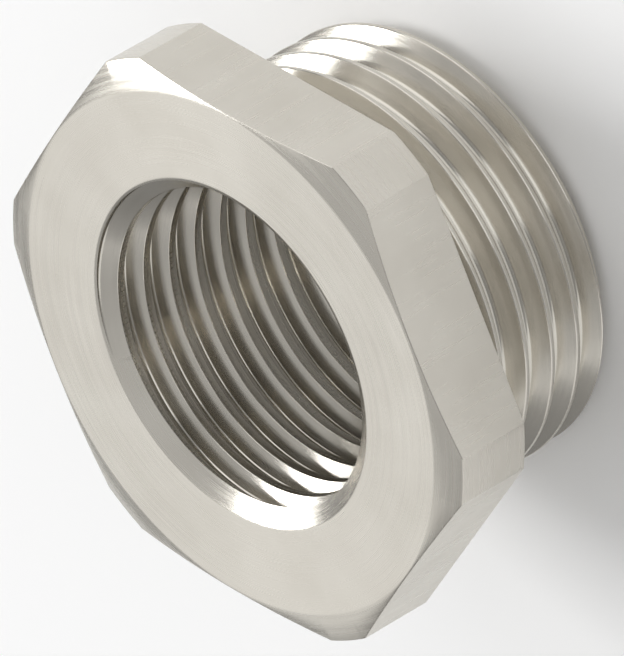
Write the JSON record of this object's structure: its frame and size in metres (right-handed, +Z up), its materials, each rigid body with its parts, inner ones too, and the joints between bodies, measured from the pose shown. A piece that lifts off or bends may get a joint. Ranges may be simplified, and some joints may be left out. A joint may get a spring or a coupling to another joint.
{
  "type": "reducer fitting",
  "caption": "Hexagon-headed reducer bush: a short threaded spigot behind a bevelled hexagon head, with a threaded hole right through it.",
  "frame": {"origin": "on the axis of the hole, in the plane of the seat under the hexagon head", "axes": "+Z up the hole, out of the hexagon's front face; +X through a corner of the hexagon; +Y square to one of its flats"},
  "size_m": [0.0264, 0.024, 0.0125],
  "materials": {
    "plated_brass": "turned and milled brass with a satin nickel plate"
  },
  "bodies": {
    "root": {"reducer_bush": "plated_brass"}
  },
  "joints": []
}
